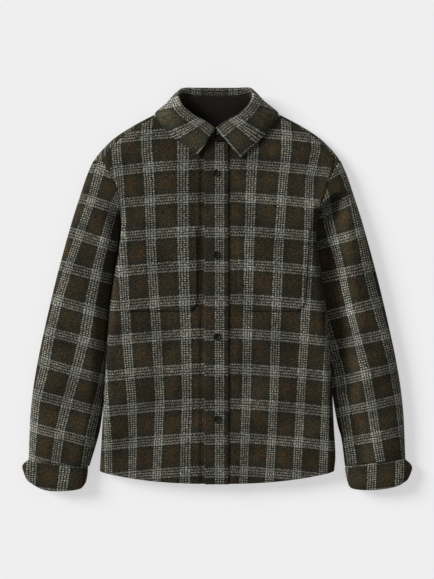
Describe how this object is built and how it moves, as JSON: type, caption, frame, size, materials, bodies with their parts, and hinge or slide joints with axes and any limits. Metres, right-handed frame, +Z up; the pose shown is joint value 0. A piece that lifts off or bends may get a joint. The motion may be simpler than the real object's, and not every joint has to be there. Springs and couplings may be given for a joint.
{
  "type": "shacket",
  "caption": "Button-front shacket laid flat on its back, with a turned-down collar, patch pockets, long sleeves and open hem, cuffs and neck.",
  "frame": {"origin": "centre of the garment's outline on the surface that it lies on", "axes": "+X to the wearer's left, +Y from the hem to the collar, +Z up from the surface under the back"},
  "size_m": [0.7611, 0.7842, 0.0467],
  "materials": {
    "plaid_cloth": "brushed",
    "brown_cloth": "matt",
    "button": "satin"
  },
  "bodies": {
    "root": {"back": "plaid_cloth", "front_right": "plaid_cloth", "front_left": "plaid_cloth", "sleeve_right": "plaid_cloth", "sleeve_left": "plaid_cloth", "cuff_right": "plaid_cloth", "cuff_left": "plaid_cloth", "pocket_right": "plaid_cloth", "pocket_left": "plaid_cloth", "placket": "plaid_cloth", "collar": "plaid_cloth", "collar_stand": "plaid_cloth", "stand_lining": "brown_cloth", "neck_facing": "brown_cloth", "button_1": "button", "button_2": "button", "button_3": "button", "button_4": "button"}
  },
  "joints": []
}
